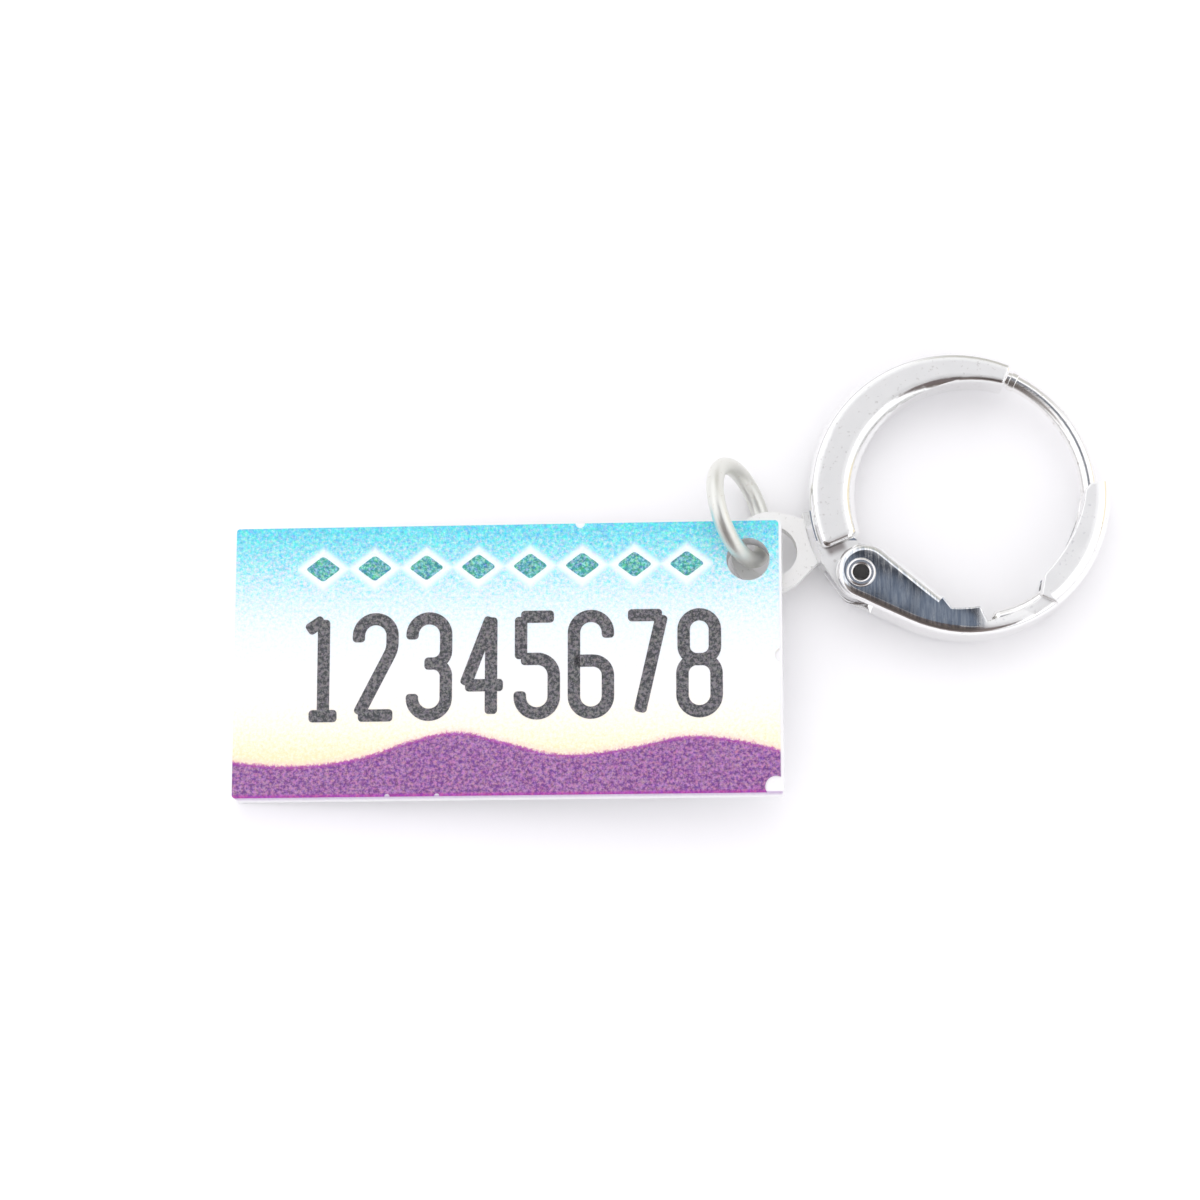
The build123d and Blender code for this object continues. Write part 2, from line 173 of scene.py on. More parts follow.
# Shared effect: plated metal with fine pits, hairlines and a slightly uneven polish
def make_plating_marks():
    tree, given, result = start_group(
        "plating_marks",
        {"Polish": 0.1, "Haze": 0.1, "Haze scale": 900.0, "Pit scale": 5200.0},
        {"Roughness": "NodeSocketFloat", "Height": "NodeSocketFloat", "Stain": "NodeSocketFloat"},
    )
    coords = given["Coords"]
    clouds = noise(tree, coords, given["Haze scale"], detail=3.0)["Fac"]
    haze = times(tree, remap(tree, clouds, haze_span), given["Haze"])
    wire(tree, calc(tree, "ADD", haze, given["Polish"]), result["Roughness"])
    lines = noise(tree, stretched(tree, coords, hairline_stretch), given["Haze scale"])["Fac"]
    fine = noise(tree, coords, given["Pit scale"])["Fac"]
    pits = remap(tree, fine, pit_span)
    wire(tree, calc(tree, "MULTIPLY_ADD", lines, hairline_height, pits), result["Height"])
    wire(tree, remap(tree, fine, stain_span), result["Stain"])
    return tree


# Ink grain: how far the dots swing about nought, the gain and the shift of their tint, and the span
# of the noise that shows as blotches
dither_gain = 5.0
tint_gain = 3.4
tint_shift = -1.2
blotch_span = (0.3, 0.7)


# Shared effect: the dither of a printed ink dot pattern
def make_ink_grain():
    tree, given, result = start_group(
        "ink_grain",
        {"Dot scale": 6.0, "Blotch scale": 2.4},
        {"Dither": "NodeSocketFloat", "Shade": "NodeSocketFloat", "Tint": "NodeSocketColor"},
    )
    dots = noise(tree, given["Coords"], given["Dot scale"], roughness=0.8)
    swing = calc(tree, "SUBTRACT", dots["Fac"], 0.5)
    wire(tree, times(tree, swing, dither_gain), result["Dither"])
    strong = tree.nodes.new("ShaderNodeVectorMath")
    strong.operation = "MULTIPLY_ADD"
    wire(tree, dots["Color"], strong.inputs[0])
    strong.inputs[1].default_value = (tint_gain, tint_gain, tint_gain)
    strong.inputs[2].default_value = (tint_shift, tint_shift, tint_shift)
    wire(tree, strong.outputs["Vector"], result["Tint"])
    blotch = noise(tree, given["Coords"], given["Blotch scale"])["Fac"]
    wire(tree, remap(tree, blotch, blotch_span), result["Shade"])
    return tree


plating_marks = make_plating_marks()
ink_grain = make_ink_grain()

# Metals: the depth of fine relief, and how much of its own color a stain takes away
fine_depth = 0.01 * mm
stain_share = 0.5


def bumped(tree, shader, height, strength, distance):
    """Adds relief, on top of any relief that the shader already has."""
    node = tree.nodes.new("ShaderNodeBump")
    node.inputs["Strength"].default_value = strength
    node.inputs["Distance"].default_value = distance
    wire(tree, height, node.inputs["Height"])
    for link in shader.inputs["Normal"].links:
        wire(tree, link.from_socket, node.inputs["Normal"])
    wire(tree, node.outputs["Normal"], shader.inputs["Normal"])


def plated(name, color, stain_color, polish, haze, relief):
    """A bright plated metal that keeps the marks of its polishing."""
    material, tree, shader = new_material(name)
    marks = use_group(tree, plating_marks, object_coords(tree), polish=polish, haze=haze)
    shader.inputs["Metallic"].default_value = 1.0
    stained = mix_color(tree, times(tree, marks["Stain"], stain_share), color, stain_color)
    wire(tree, stained, shader.inputs["Base Color"])
    wire(tree, marks["Roughness"], shader.inputs["Roughness"])
    bumped(tree, shader, marks["Height"], relief, fine_depth)
    return material, tree, shader, marks


def tinted(tree, shader, tint):
    """Multiplies the color that the shader already has."""
    color = shader.inputs["Base Color"].links[0].from_socket
    wire(tree, mix_color(tree, 1.0, color, tint, blend="MULTIPLY"), shader.inputs["Base Color"])


def level_mask(tree, span):
    """Nought below a span of heights off the middle plane, and one above it."""
    height = calc(tree, "ABSOLUTE", split(tree, object_coords(tree))[2])
    return remap(tree, height, span)


# The arch: its loop starts at a distance from the middle of the hoop, and its faces are known by
# their heights off the middle plane
loop_edge = (7.16 * mm, 7.22 * mm)
arch_face_level = (1.0 * mm, 1.04 * mm)
tongue_level = (0.66 * mm, 0.7 * mm)
over_tongue_level = (0.8 * mm, 0.84 * mm)
tongue_top = -2.2 * mm
satin_marks = {"polish": 0.46, "haze": 0.06, "haze_scale": 2600.0, "pit_scale": 7000.0}
loop_dullness = 0.2
loop_less_metal = 0.32
arch_face_less_metal = 0.11

# The arch's foot ends on a line out from the middle of the hoop; this is the way on from that line.
# Painted shade for the corner lies along it, and between two distances from the middle
foot_angle = radians(203.5)
foot_ahead = (-sin(foot_angle), cos(foot_angle))
corner_shade_reach = (0.12 * mm, 0.5 * mm)
corner_shade_from = (5.6 * mm, 5.9 * mm)
corner_shade_to = (6.5 * mm, 6.75 * mm)


def arch_metal():
    material, tree, shader, marks = plated("arch_plating", (0.94, 0.94, 0.93), (0.62, 0.6, 0.58),
                                           polish=0.07, haze=0.05, relief=0.1)
    coords = object_coords(tree)
    place = split(tree, coords)
    across = calc(tree, "POWER", place[1], 2.0)
    from_middle = calc(tree, "SQRT", calc(tree, "MULTIPLY_ADD", place[0], place[0], across))
    loop = remap(tree, from_middle, loop_edge)
    tongue = times(tree, level_mask(tree, tongue_level),
                   rest_of(tree, level_mask(tree, over_tongue_level)))
    tongue = times(tree, tongue, calc(tree, "LESS_THAN", place[1], tongue_top))
    face = calc(tree, "MAXIMUM", level_mask(tree, arch_face_level), tongue)
    # the face and the tongue are satin, the flat loop is duller and paler
    satin = use_group(tree, plating_marks, coords, **satin_marks)
    rough = blend_value(tree, face, marks["Roughness"], satin["Roughness"])
    dull = calc(tree, "ADD", satin["Roughness"], loop_dullness)
    wire(tree, blend_value(tree, loop, rough, dull), shader.inputs["Roughness"])
    tinted(tree, shader, mix_color(tree, loop, (0.97, 0.97, 0.975), (1.0, 1.0, 0.995)))
    less_metal = calc(tree, "MAXIMUM", times(tree, loop, loop_less_metal),
                      times(tree, face, arch_face_less_metal))
    wire(tree, rest_of(tree, less_metal), shader.inputs["Metallic"])
    # painted shade: the corner between the arch's foot and the tongue is darkened where shade falls
    past_foot = calc(tree, "ADD", times(tree, place[0], foot_ahead[0]),
                     times(tree, place[1], foot_ahead[1]))
    between = times(tree, remap(tree, from_middle, corner_shade_from),
                    remap(tree, from_middle, corner_shade_to, falling))
    corner = times(tree, remap(tree, past_foot, corner_shade_reach, falling), between)
    painted_shade = times(tree, corner, tongue)
    # the painted shade darkens the metal's color in that corner
    tinted(tree, shader, mix_color(tree, painted_shade, no_tint, (0.4, 0.37, 0.37)))
    return material


# The lever's cheek: its middle line from the hinge to the waist, and how it is crowned about that
# line, in millimetres
cheek_line = Vector((-4.52, -3.82, 0)) * mm
cheek_line_turn = Euler((0, 0, radians(-25)))
cheek_crown = 0.04
cheek_reach = 1.6
wave_scale = 420.0
wave_height = 0.07
# Where the waist starts along the lever, and the heights of the cheek's face and of the spoon's
# rounded side off the middle plane
waist_start = (0.7 * mm, 1.5 * mm)
cheek_level = (1.15 * mm, 1.2 * mm)
spoon_side_from = (1.21 * mm, 1.23 * mm)
spoon_side_to = (1.36 * mm, 1.39 * mm)
# The brushed streaks of the cheek, and the satin face of the waist and the spoon
brush_stretch = (7500.0, 900.0, 900.0)
streak_span = (0.36, 0.66)
hairline_span = (0.42, 0.72)
hairline_roughness = (0.0, 0.06)
satin_roughness = 0.38
satin_less_metal = 0.16


def lever_metal():
    material, tree, shader, marks = plated("lever_plating", (0.96, 0.96, 0.955), (0.66, 0.66, 0.68),
                                           polish=0.06, haze=0.05, relief=0.06)
    coords = object_coords(tree)
    # the cheek is polished slightly round, and a little wavy
    on_cheek = split(tree, millimetres_from(tree, coords, cheek_line, cheek_line_turn))
    off_line = calc(tree, "MINIMUM", calc(tree, "ABSOLUTE", on_cheek[1]), cheek_reach)
    crown_fall = times(tree, calc(tree, "POWER", off_line, 2.0), -cheek_crown)
    waves = noise(tree, coords, wave_scale, detail=1.0)["Fac"]
    bumped(tree, shader, calc(tree, "MULTIPLY_ADD", waves, wave_height, crown_fall), 1.0, mm)
    # brushed streaks across the flat of the cheek
    brushed = stretched(tree, coords, brush_stretch)
    streaks = noise(tree, brushed, 1.0, detail=3.0, roughness=0.6)["Fac"]
    past_cheek = remap(tree, split(tree, coords)[0], waist_start)
    flat = level_mask(tree, cheek_level)
    cheek_flat = times(tree, flat, rest_of(tree, past_cheek))
    streaky = times(tree, remap(tree, streaks, streak_span, falling), cheek_flat)
    tinted(tree, shader, mix_color(tree, streaky, no_tint, (0.6, 0.64, 0.7)))
    # a satin face on the waist and the spoon, whose rounded sides stay bright
    off_spoon_side = calc(tree, "MAXIMUM", level_mask(tree, spoon_side_to),
                          rest_of(tree, level_mask(tree, spoon_side_from)))
    satin_face = times(tree, past_cheek, times(tree, flat, off_spoon_side))
    metallic = calc(tree, "MULTIPLY_ADD", satin_face, -satin_less_metal, 1.0)
    wire(tree, metallic, shader.inputs["Metallic"])
    hairlines = times(tree, remap(tree, streaks, hairline_span, hairline_roughness), cheek_flat)
    rough = calc(tree, "ADD", times(tree, satin_face, satin_roughness),
                 calc(tree, "ADD", hairlines, marks["Roughness"]))
    wire(tree, rough, shader.inputs["Roughness"])
    return material


# The plainer metal pieces: color, color of the stains, polish, haze and relief
plain_metals = {
    "ear_wire": ("wire_plating", (0.92, 0.91, 0.9), (0.4, 0.35, 0.33), 0.17, 0.08, 0.05),
    "hinge_rivet": ("rivet_plating", (0.9, 0.89, 0.89), (0.6, 0.58, 0.58), 0.12, 0.08, 0.08),
    "snap_spring": ("spring_temper", (0.62, 0.62, 0.63), (0.4, 0.38, 0.36), 0.22, 0.12, 0.1),
    "jump_ring": ("ring_plating", (0.83, 0.835, 0.79), (0.66, 0.62, 0.54), 0.38, 0.08, 0.12),
}

# The plate: where its lower left corner is, how much it is tipped up and its size in millimetres
plate_corner = Vector((-33.4666, -14.2302, -1.37)) * mm
plate_turn = Euler((0, -radians(4.4231), 0))
plate_length = 25.4
plate_height = 12.7
plate_top = 1.5


def plate_coords(tree):
    """Millimetres along the plate, up the plate and above it."""
    return millimetres_from(tree, object_coords(tree), plate_corner, plate_turn)


# Ink that has run over the lower edge: over which heights and how far in from the edge it shows
run_levels = (0.3, 1.45)
run_inward = (0.02, 0.1)
run_grain = 0.08
run_strength = 0.9
# The marks of the saw go straight through the plate
saw_stretch = (9.0, 9.0, 0.6)
saw_span = (0.3, 0.7)
saw_roughness = (0.3, 0.5)
saw_relief = 0.3


def acrylic_white():
    material, tree, shader = new_material("acrylic_white")
    coords = plate_coords(tree)
    grain = use_group(tree, ink_grain, coords, dot_scale=5.0, blotch_scale=1.4)
    color = mix_color(tree, grain["Shade"], (0.875, 0.875, 0.89), (0.9, 0.9, 0.91))
    place = split(tree, coords)
    level = calc(tree, "MULTIPLY_ADD", grain["Dither"], run_grain, place[2])
    bled = times(tree, remap(tree, level, run_levels), remap(tree, place[1], run_inward, falling))
    color = mix_color(tree, times(tree, bled, run_strength), color, (0.5, 0.36, 0.58))
    wire(tree, color, shader.inputs["Base Color"])
    saw_lines = noise(tree, stretched(tree, coords, saw_stretch), 1.0)["Fac"]
    wire(tree, remap(tree, saw_lines, saw_span, saw_roughness), shader.inputs["Roughness"])
    bumped(tree, shader, saw_lines, saw_relief, fine_depth)
    shader.inputs["Subsurface Weight"].default_value = 0.15
    shader.inputs["Subsurface Radius"].default_value = (0.6, 0.6, 0.7)
    shader.inputs["Subsurface Scale"].default_value = 0.4 * mm
    return material


# Outline of the printed hills: places along the plate and the heights of the crest there
hill_points = ((0.0, 1.72), (3.2, 1.5), (6.0, 1.86), (8.4, 2.62), (10.4, 2.98), (12.6, 2.5),
               (15.2, 1.9), (18.2, 2.14), (21.0, 2.66), (23.0, 2.52), (25.4, 1.92))


def hill_crest(tree, along):
    node = tree.nodes.new("ShaderNodeFloatCurve")
    curve = node.mapping.curves[0]
    curve.points[0].location = (0, hill_points[0][1] / plate_height)
    curve.points[-1].location = (1, hill_points[-1][1] / plate_height)
    for place, height in hill_points[1:-1]:
        curve.points.new(place / plate_length, height / plate_height)
    node.mapping.update()
    wire(tree, calc(tree, "DIVIDE", along, plate_length), node.inputs["Value"])
    return times(tree, node.outputs["Value"], plate_height)


# The sky from its foot to its top, as shares of the plate's height
sky_stops = (
    (0.12, (0.96, 0.81, 0.5)),
    (0.2, (0.96, 0.88, 0.67)),
    (0.27, (0.95, 0.91, 0.8)),
    (0.36, (0.94, 0.92, 0.89)),
    (0.48, (0.9, 0.92, 0.94)),
    (0.64, (0.8, 0.88, 0.92)),
    (0.76, (0.62, 0.82, 0.88)),
    (0.86, (0.36, 0.75, 0.83)),
    (1.0, (0.12, 0.64, 0.77)),
)


def sky_color(tree, up, dither):
    """Turquoise at the top, fading through white to pale yellow over the hills."""
    level = calc(tree, "DIVIDE", calc(tree, "SUBTRACT", up, dither), plate_height)
    ramp = tree.nodes.new("ShaderNodeValToRGB")
    wire(tree, level, ramp.inputs["Fac"])
    band = ramp.color_ramp
    for element, (place, color) in zip(band.elements, (sky_stops[0], sky_stops[-1])):
        element.position = place
        element.color = (*color, 1)
    for place, color in sky_stops[1:-1]:
        band.elements.new(place).color = (*color, 1)
    return ramp.outputs["Color"]


# A row of small plain diamonds above the figures, and the pale halo round it, in millimetres
diamond_pitch = 2.42
diamond_first = 4.1
diamond_count = 8
diamond_level = 10.72
diamond_half_length = 0.82
diamond_half_height = 0.62
halo_half_length = diamond_half_length + 0.42
halo_half_height = diamond_half_height + 0.36
halo_edge = (0.8, 1.2)
halo_grain = 0.16
halo_strength = 0.85


def halo_mask(tree, along, up, dither):
    step = calc(tree, "PINGPONG", calc(tree, "SUBTRACT", along, diamond_first), diamond_pitch / 2)
    off_row = calc(tree, "ABSOLUTE", calc(tree, "SUBTRACT", up, diamond_level))
    reach = calc(tree, "ADD", calc(tree, "DIVIDE", step, halo_half_length),
                 calc(tree, "DIVIDE", off_row, halo_half_height))
    reach = calc(tree, "MULTIPLY_ADD", dither, halo_grain, reach)
    row_middle = diamond_first + diamond_pitch * (diamond_count - 1) / 2
    off_middle = calc(tree, "ABSOLUTE", calc(tree, "SUBTRACT", along, row_middle))
    in_row = calc(tree, "LESS_THAN", off_middle, diamond_pitch * diamond_count / 2)
    return times(tree, remap(tree, reach, halo_edge, falling), times(tree, in_row, halo_strength))


# The hills by the depth under their crest: the grainy edge, the warm rim over it, the line under it
crest_grain = 0.08
crest_edge = (-0.07, 0.1)
rim_span = (-0.34, -0.02)
rim_strength = 0.55
line_span = (0.06, 0.24)
# A like line along the plate's lower edge, by its height, and how strong both lines are
foot_line_span = (0.06, 0.2)
line_strength = (0.7, 0.0)
# Where the dark dots of the plum ink go over into the light ones
fleck_shade = 0.35
fleck_span = (-0.55, 0.9)
# A small nick in the right edge: its place along and up the plate, its edge and its strength
nick_place = (25.4, 6.38)
nick_edge = (0.28, 0.38)
nick_strength = (0.9, 0.0)
# How much the dots show: on the hills, and over which heights of the sky; the least and the most
hill_dots = 0.35
sky_dots_span = (6.5, 12.0)
dots_depth = (0.08, 0.42)
# The surface of the ink
lettering_dither_span = (-0.5, 0.6)
ink_dither_span = (-0.6, 0.6)
ink_roughness = (0.34, 0.5)
ink_relief = 0.12


def ink_surface(tree, shader, dither):
    wire(tree, remap(tree, dither, ink_dither_span, ink_roughness), shader.inputs["Roughness"])
    bumped(tree, shader, dither, ink_relief, fine_depth)


def ink_layer():
    material, tree, shader = new_material("printed_ink")
    coords = plate_coords(tree)
    along, up = split(tree, coords)[:2]
    grain = use_group(tree, ink_grain, coords)
    dither = grain["Dither"]
    sky = mix_color(tree, halo_mask(tree, along, up, dither), sky_color(tree, up, dither),
                    (0.93, 0.96, 0.98))
    # plum hills with a grainy crest, a vivid line under it and along the foot, and a warm rim above
    crest = calc(tree, "SUBTRACT", hill_crest(tree, along), up)
    crest = calc(tree, "MULTIPLY_ADD", dither, crest_grain, crest)
    hill = remap(tree, crest, crest_edge)
    rim = times(tree, remap(tree, crest, rim_span), rim_strength)
    fleck = calc(tree, "MULTIPLY_ADD", grain["Shade"], fleck_shade, dither)
    plum = mix_color(tree, remap(tree, fleck, fleck_span), (0.19, 0.045, 0.23), (0.4, 0.205, 0.42))
    lines = calc(tree, "MAXIMUM", remap(tree, crest, line_span, line_strength),
                 remap(tree, up, foot_line_span, line_strength))
    plum = mix_color(tree, lines, plum, (0.4, 0.03, 0.36))
    sky = mix_color(tree, rim, sky, (0.95, 0.66, 0.6))
    inked = mix_color(tree, hill, sky, plum)
    nick_along = calc(tree, "POWER", calc(tree, "SUBTRACT", along, nick_place[0]), 2.0)
    nick_up = calc(tree, "POWER", calc(tree, "SUBTRACT", up, nick_place[1]), 2.0)
    off_nick = calc(tree, "SQRT", calc(tree, "ADD", nick_along, nick_up))
    nick = remap(tree, off_nick, nick_edge, nick_strength)
    inked = mix_color(tree, nick, inked, (0.7, 0.69, 0.65))
    strength = calc(tree, "MAXIMUM", times(tree, hill, hill_dots), remap(tree, up, sky_dots_span))
    depth = remap(tree, strength, (0.0, 1.0), dots_depth, smooth=False)
    dotted = mix_color(tree, depth, inked, grain["Tint"], blend="OVERLAY")
    wire(tree, dotted, shader.inputs["Base Color"])
    ink_surface(tree, shader, dither)
    return material


def lettering_ink(name, dark, light, depth):
    """Ink of the figures and diamonds, with the same dot grain as the rest of the print."""
    material, tree, shader = new_material(name)
    grain = use_group(tree, ink_grain, plate_coords(tree))
    color = mix_color(tree, remap(tree, grain["Dither"], lettering_dither_span), dark, light)
    dotted = mix_color(tree, depth, color, grain["Tint"], blend="OVERLAY")
    wire(tree, dotted, shader.inputs["Base Color"])
    ink_surface(tree, shader, grain["Dither"])
    return material


# Printed figures, in millimetres: flat strokes drawn by a pen that goes ahead and turns
stroke_width = 0.57
figure_height = 5.1
figure_pitch = 2.5
figure_first = 4.1
figure_base = 3.5
figure_rounding = 0.17
diamond_rounding = 0.14
ink_rise = 0.016
ink_sink = 0.008
# Each stroke of a figure lies a step higher than the one before, so that no two share a plane
stroke_step = 0.004
steps_per_circle = 48
merge_distance = 0.0005


def draw_stroke(mesh, start, heading, moves, level):
    """One pen stroke: each move is a distance ahead, or a radius and an angle, left positive."""
    place = Vector((*start, level))
    ahead = Vector((cos(radians(heading)), sin(radians(heading)), 0))
    side = Vector((-ahead.y, ahead.x, 0)) * (stroke_width / 2)
    ends = [mesh.verts.new(place + side), mesh.verts.new(place - side)]
    edge = mesh.edges.new(ends)
    for move in moves:
        if isinstance(move, (int, float)):
            grown = bmesh.ops.extrude_edge_only(mesh, edges=[edge])["geom"]
            verts = [item for item in grown if isinstance(item, bmesh.types.BMVert)]
            bmesh.ops.translate(mesh, verts=verts, vec=ahead * move)
            edge = mesh.edges.get(verts)
            place = place + ahead * move
        else:
            radius, angle = move
            left = Vector((-ahead.y, ahead.x, 0))
            centre = place + left * (radius if angle > 0 else -radius)
            steps = max(2, round(abs(angle) / 360 * steps_per_circle))
            spun = bmesh.ops.spin(mesh, geom=[edge], cent=centre, axis=(0, 0, 1), dvec=(0, 0, 0),
                                  angle=radians(angle), steps=steps, use_duplicate=False)
            edge = next(item for item in spun["geom_last"] if isinstance(item, bmesh.types.BMEdge))
            turn = Matrix.Rotation(radians(angle), 3, "Z")
            place = centre + turn @ (place - centre)
            ahead = turn @ ahead
    return ends + list(edge.verts)


# The strokes of each figure: where the pen starts, its heading and its moves, measured from the
# middle of the figure's foot. The strokes of the last figure close on themselves
bowl = 0.785
crown = figure_height - stroke_width
figure_strokes = {
    1: (((0.08, 0), 90, (crown,)), ((0.08, crown), 214, (0.92,)), ((-0.58, 0), 0, (1.3,))),
    2: (((-bowl, crown - bowl - 0.3), 90, (0.3, (bowl, -180), 0.35, (1.2, -27), 3.15)),
        ((-bowl, 0), 0, (1.6,))),
    3: (((-bowl, crown - bowl - 0.2), 90, (0.2, (bowl, -180), 0.745, (0.6, -90), 0.4)),
        ((-0.215, 2.4), 0, (0.4, (0.6, -90), 1.015, (bowl, -180), 0.2))),
    4: (((0.38, 0), 90, (crown,)), ((0.38, crown), 249.3, (3.4,)), ((-0.82, 1.35), 0, (1.75,))),
    5: (((bowl, crown), 180, (1.52,)), ((-0.735, crown), 270, (1.98,)),
        ((-0.735, 2.55), 0, (0.75, (0.77, -90), 0.995, (bowl, -180), 0.25))),
    6: (((bowl, crown - bowl - 0.25), 90,
         (0.25, (bowl, 180), 2.96, (bowl, 180), 0.95, (0.7, 90), 0.87)),),
    7: (((-bowl, crown), 0, (1.57,)), ((bowl, crown), 257.1, (4.647,))),
    8: (((0, 0), 0, ((bowl, 90), 0.98, (0.67, 90), 0.23, (0.67, 90), 0.98, (bowl, 90))),
        ((0, 2.43), 0, (0.1, (0.62, 90), 0.76, (0.72, 180), 0.76, (0.62, 90), 0.1))),
}
closed_figure = 8


def lay_on_plate(mesh, name, along, up, material):
    """Gives a flat drawn shape its thickness and lays it on the plate, sunk a little in the ink."""
    bmesh.ops.recalc_face_normals(mesh, faces=mesh.faces)
    grown = bmesh.ops.extrude_face_region(mesh, geom=mesh.faces[:])["geom"]
    verts = [item for item in grown if isinstance(item, bmesh.types.BMVert)]
    bmesh.ops.translate(mesh, verts=verts, vec=(0, 0, ink_rise + ink_sink))
    bmesh.ops.recalc_face_normals(mesh, faces=mesh.faces)
    plate = Matrix.Translation(plate_corner) @ plate_turn.to_matrix().to_4x4() @ Matrix.Scale(mm, 4)
    place = plate @ Matrix.Translation((along, up, plate_top - ink_sink))
    bmesh.ops.transform(mesh, matrix=place, verts=mesh.verts)
    data = bpy.data.meshes.new(name)
    mesh.to_mesh(data)
    mesh.free()
    data.materials.append(material)
    piece = bpy.data.objects.new(name, data)
    bpy.context.scene.collection.objects.link(piece)
    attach(piece, "charm")


def make_figure(figure, along, material):
    mesh = bmesh.new()
    for order, (start, heading, moves) in enumerate(figure_strokes[figure]):
        corners = draw_stroke(mesh, start, heading, moves, order * stroke_step)
        if figure != closed_figure:
            bmesh.ops.bevel(mesh, geom=corners, offset=figure_rounding, offset_type="OFFSET",
                            affect="VERTICES", segments=4, profile=0.5, material=-1)
    bmesh.ops.remove_doubles(mesh, verts=mesh.verts, dist=merge_distance)
    lay_on_plate(mesh, f"figure_{figure}", along, figure_base + stroke_width / 2, material)


def make_diamond(number, along, material):
    mesh = bmesh.new()
    bmesh.ops.create_circle(mesh, cap_ends=True, segments=4, radius=1)
    bmesh.ops.scale(mesh, vec=(diamond_half_length, diamond_half_height, 1), verts=mesh.verts)
    bmesh.ops.bevel(mesh, geom=mesh.verts[:], offset=diamond_rounding, offset_type="OFFSET",
                    affect="VERTICES", segments=3, profile=0.5, material=-1)
    lay_on_plate(mesh, f"diamond_{number}", along, diamond_level, material)


# Studio: an even white light for the surfaces, and for reflections a room with dark and warm
# patches. A patch has the way to its middle, the angles in degrees where it starts to fade and where
# it ends, and its color
even_color = (1.0, 0.985, 1.01)
even_strength = 1.1
room_floor = (0.5, 0.5, 0.5)
room_walls = (1.25, 1.25, 1.28)
room_horizon = (-0.05, 0.35)
room_patches = (
    ((0.35, 1.0, 0.5), 10, 30, (0.62, 0.61, 0.57)),
    ((1.0, 0.2, 0.06), 8, 20, (1.0, 0.9, 0.68)),
    ((-0.51, -0.6, 0.62), 13, 25, (0.34, 0.31, 0.3)),
    ((0.2, -0.76, 0.62), 12, 25, (0.17, 0.14, 0.13)),
    ((-0.48, -0.82, 0.3), 10, 24, (0.22, 0.19, 0.18)),
    ((0.03, -0.95, 0.3), 12, 24, (0.24, 0.2, 0.19)),
    ((-0.18, -0.77, 0.62), 13, 26, (0.09, 0.075, 0.075)),
    ((-0.15, -0.52, 0.83), 14, 24, (0.12, 0.1, 0.09)),
    ((-0.1, -0.25, 0.96), 7, 14, (0.13, 0.11, 0.11)),
    ((0.2, -0.3, 0.93), 8, 16, (0.13, 0.11, 0.11)),
    ((0.32, -0.55, 0.77), 8, 17, (0.18, 0.15, 0.15)),
    ((0.06, 0.16, 1.0), 11, 17, (0.06, 0.065, 0.08)),
    ((0.03, 0.2, 1.0), 2, 9, (0.23, 0.265, 0.33)),
)


def patch_mask(tree, direction, toward, near, far):
    """One in a round patch of the room, fading to nought at its edge."""
    dot = tree.nodes.new("ShaderNodeVectorMath")
    dot.operation = "DOT_PRODUCT"
    wire(tree, direction, dot.inputs[0])
    dot.inputs[1].default_value = Vector(toward).normalized()
    return remap(tree, dot.outputs["Value"], (cos(radians(far)), cos(radians(near))))


def light_studio():
    world = bpy.data.worlds.new("studio")
    world.use_nodes = True
    tree = world.node_tree
    tree.nodes.clear()
    direction = tree.nodes.new("ShaderNodeTexCoord").outputs["Generated"]
    height = split(tree, direction)[2]
    room = mix_color(tree, remap(tree, height, room_horizon), room_floor, room_walls)
    for toward, near, far, color in room_patches:
        room = mix_color(tree, patch_mask(tree, direction, toward, near, far), room, color)
    mirror = tree.nodes.new("ShaderNodeBackground")
    wire(tree, room, mirror.inputs["Color"])
    even = tree.nodes.new("ShaderNodeBackground")
    even.inputs["Color"].default_value = (*even_color, 1)
    even.inputs["Strength"].default_value = even_strength
    glossy = tree.nodes.new("ShaderNodeLightPath").outputs["Is Glossy Ray"]
    blend = tree.nodes.new("ShaderNodeMixShader")
    for socket, source in zip(blend.inputs, (glossy, even.outputs[0], mirror.outputs[0])):
        wire(tree, source, socket)
    out = tree.nodes.new("ShaderNodeOutputWorld")
    wire(tree, blend.outputs[0], out.inputs["Surface"])
    bpy.context.scene.world = world


def add_lamp(name, place, aim, size, power, color):
    data = bpy.data.lights.new(name, "AREA")
    data.shape = "DISK"
    data.size = size
    data.energy = power
    data.color = color
    lamp = bpy.data.objects.new(name, data)
    lamp.location = place
    lamp.rotation_euler = (Vector(aim) - Vector(place)).to_track_quat("-Z", "Y").to_euler()
    lamp.visible_glossy = False
    bpy.context.scene.collection.objects.link(lamp)


# The pale table that the part lies on, in metres, with its faint shading and its roughness
table_size = 3
table_level = -1.4 * mm
table_shade_scale = 30.0
table_roughness = 0.7


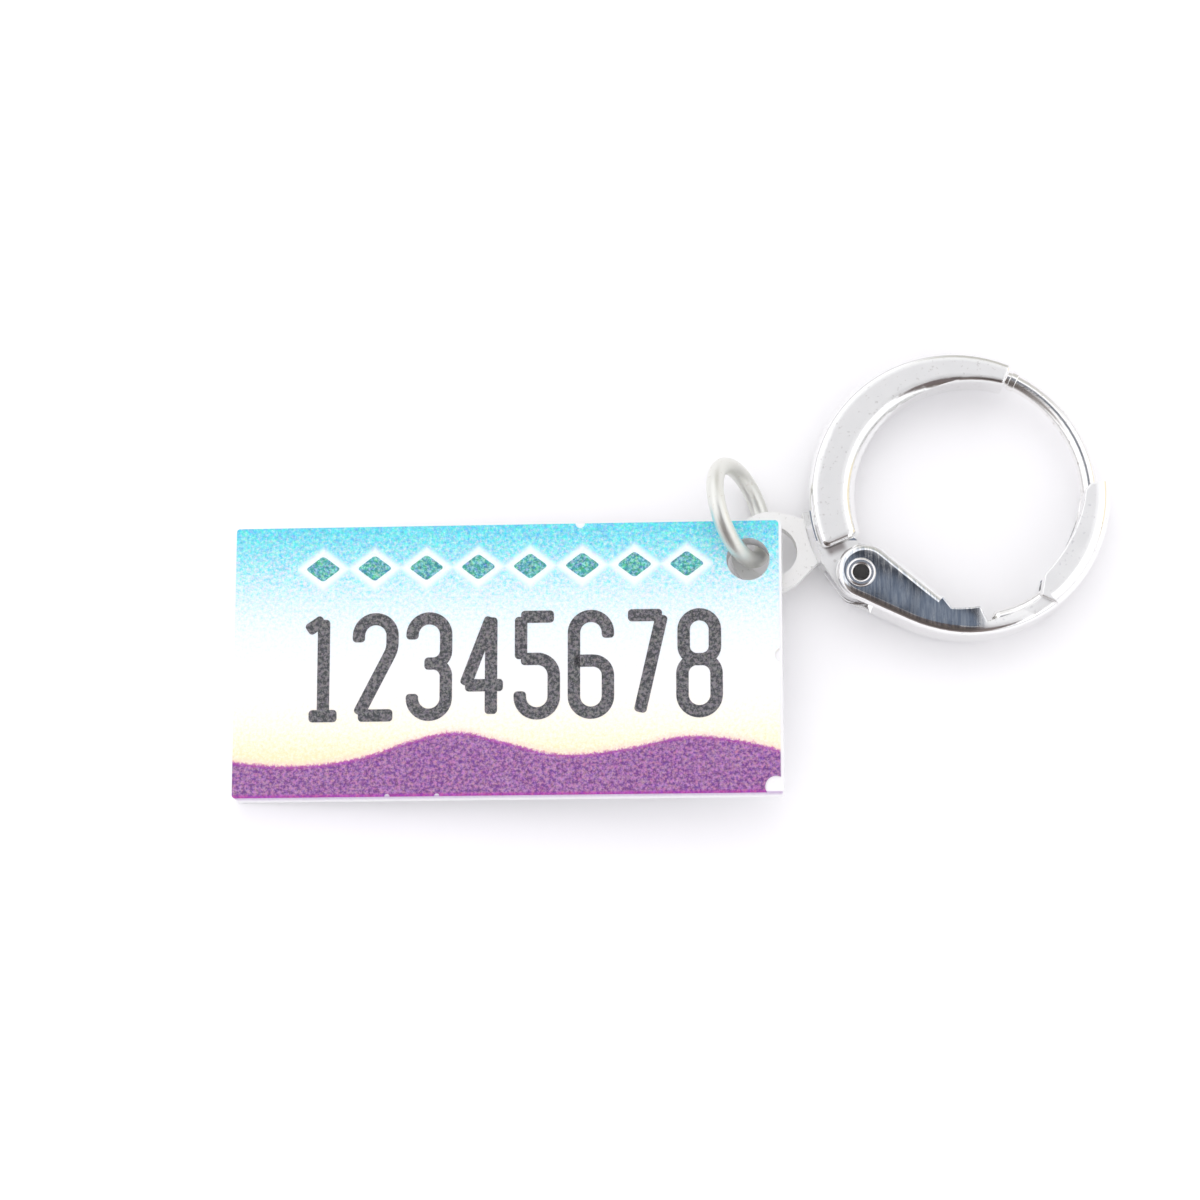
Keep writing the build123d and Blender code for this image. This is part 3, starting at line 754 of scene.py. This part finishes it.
def make_table():
    bpy.ops.mesh.primitive_plane_add(size=table_size, location=(0, 0, table_level))
    floor = bpy.context.object
    floor.name = "floor"
    material, tree, shader = new_material("white_table")
    shade = noise(tree, object_coords(tree), table_shade_scale, detail=3.0)["Fac"]
    pale = mix_color(tree, shade, (0.95, 0.95, 0.965), (0.975, 0.975, 0.98))
    wire(tree, pale, shader.inputs["Base Color"])
    shader.inputs["Roughness"].default_value = table_roughness
    floor.data.materials.append(material)


# Camera: almost straight down, leaning a little towards the plate's lower edge
camera_aim = Vector((-16.614, -4.878, 0)) * mm
camera_place = Vector((-16.614, -38.771, 166.587)) * mm
camera_lens = 109.44


def place_camera():
    data = bpy.data.cameras.new("camera")
    data.sensor_width = 36
    data.lens = camera_lens
    data.clip_start = 0.01
    data.clip_end = 10
    camera = bpy.data.objects.new("camera", data)
    bpy.context.scene.collection.objects.link(camera)
    back = (camera_place - camera_aim).normalized()
    side = Vector((1, 0, 0))
    turn = Matrix((side, back.cross(side), back)).transposed().to_4x4()
    camera.matrix_world = Matrix.Translation(camera_place) @ turn
    bpy.context.scene.camera = camera


def finish_node(name, material):
    nodes[name].data.materials.clear()
    nodes[name].data.materials.append(material)


place_camera()
light_studio()
make_table()
add_lamp("window", place=(-0.03, 0.34, 0.5), aim=(-0.01, 0, 0), size=0.6, power=0.42,
         color=(1, 1, 0.97))

finish_node("front_arch", arch_metal())
finish_node("lever", lever_metal())
for node, look in plain_metals.items():
    finish_node(node, plated(*look)[0])
finish_node("charm_body", acrylic_white())
finish_node("charm_print", ink_layer())

figure_ink = lettering_ink("figure_ink", (0.052, 0.052, 0.058), (0.19, 0.188, 0.2), depth=0.08)
diamond_ink = lettering_ink("diamond_ink", (0.05, 0.3, 0.3), (0.2, 0.56, 0.56), depth=0.35)
for figure in figure_strokes:
    make_figure(figure, figure_first + figure_pitch * (figure - 1), figure_ink)
for number in range(diamond_count):
    make_diamond(number + 1, diamond_first + diamond_pitch * number, diamond_ink)

bpy.context.scene.view_settings.view_transform = "Standard"
